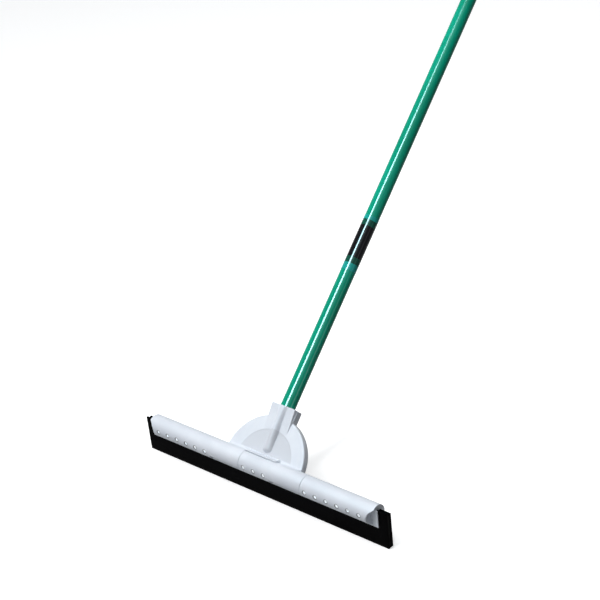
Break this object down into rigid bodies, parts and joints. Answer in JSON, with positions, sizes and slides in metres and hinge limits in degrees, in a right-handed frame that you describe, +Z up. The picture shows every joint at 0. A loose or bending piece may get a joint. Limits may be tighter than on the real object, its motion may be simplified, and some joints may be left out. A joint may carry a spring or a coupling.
{
  "type": "floor squeegee",
  "caption": "Floor squeegee with a double rubber blade riveted in a round plastic holder, a half-disc pole bracket that tilts on it, and a green coated pole with a bare label",
  "frame": {"origin": "middle of the blade's lower edge, where the two rubber sheets stand on the floor", "axes": "+X along the head to the right as seen from the front, +Y to the back, the side that the pole leans to, +Z up, away from the floor"},
  "size_m": [0.45, 0.9932, 0.9556],
  "materials": {
    "grey_plastic": "satin",
    "black_rubber": "matte",
    "rivet_metal": "satin",
    "green_coat": "gloss",
    "dark_plastic": "satin",
    "label_film": "gloss"
  },
  "bodies": {
    "head": {"holder_front": "grey_plastic", "holder_back": "grey_plastic", "blade_front": "black_rubber", "blade_back": "black_rubber", "clamp_rivets": "rivet_metal"},
    "handle": {"bracket": "grey_plastic", "pole": "green_coat", "pole_plug": "dark_plastic", "pole_label": "label_film", "pole_cap": "grey_plastic"}
  },
  "joints": [
    {"name": "handle_tilt", "type": "hinge", "parent": "head", "child": "handle", "pos_m": [0, -0.0026, 0.048], "axis": [1, 0, 0], "range_deg": [0, 45]}
  ]
}
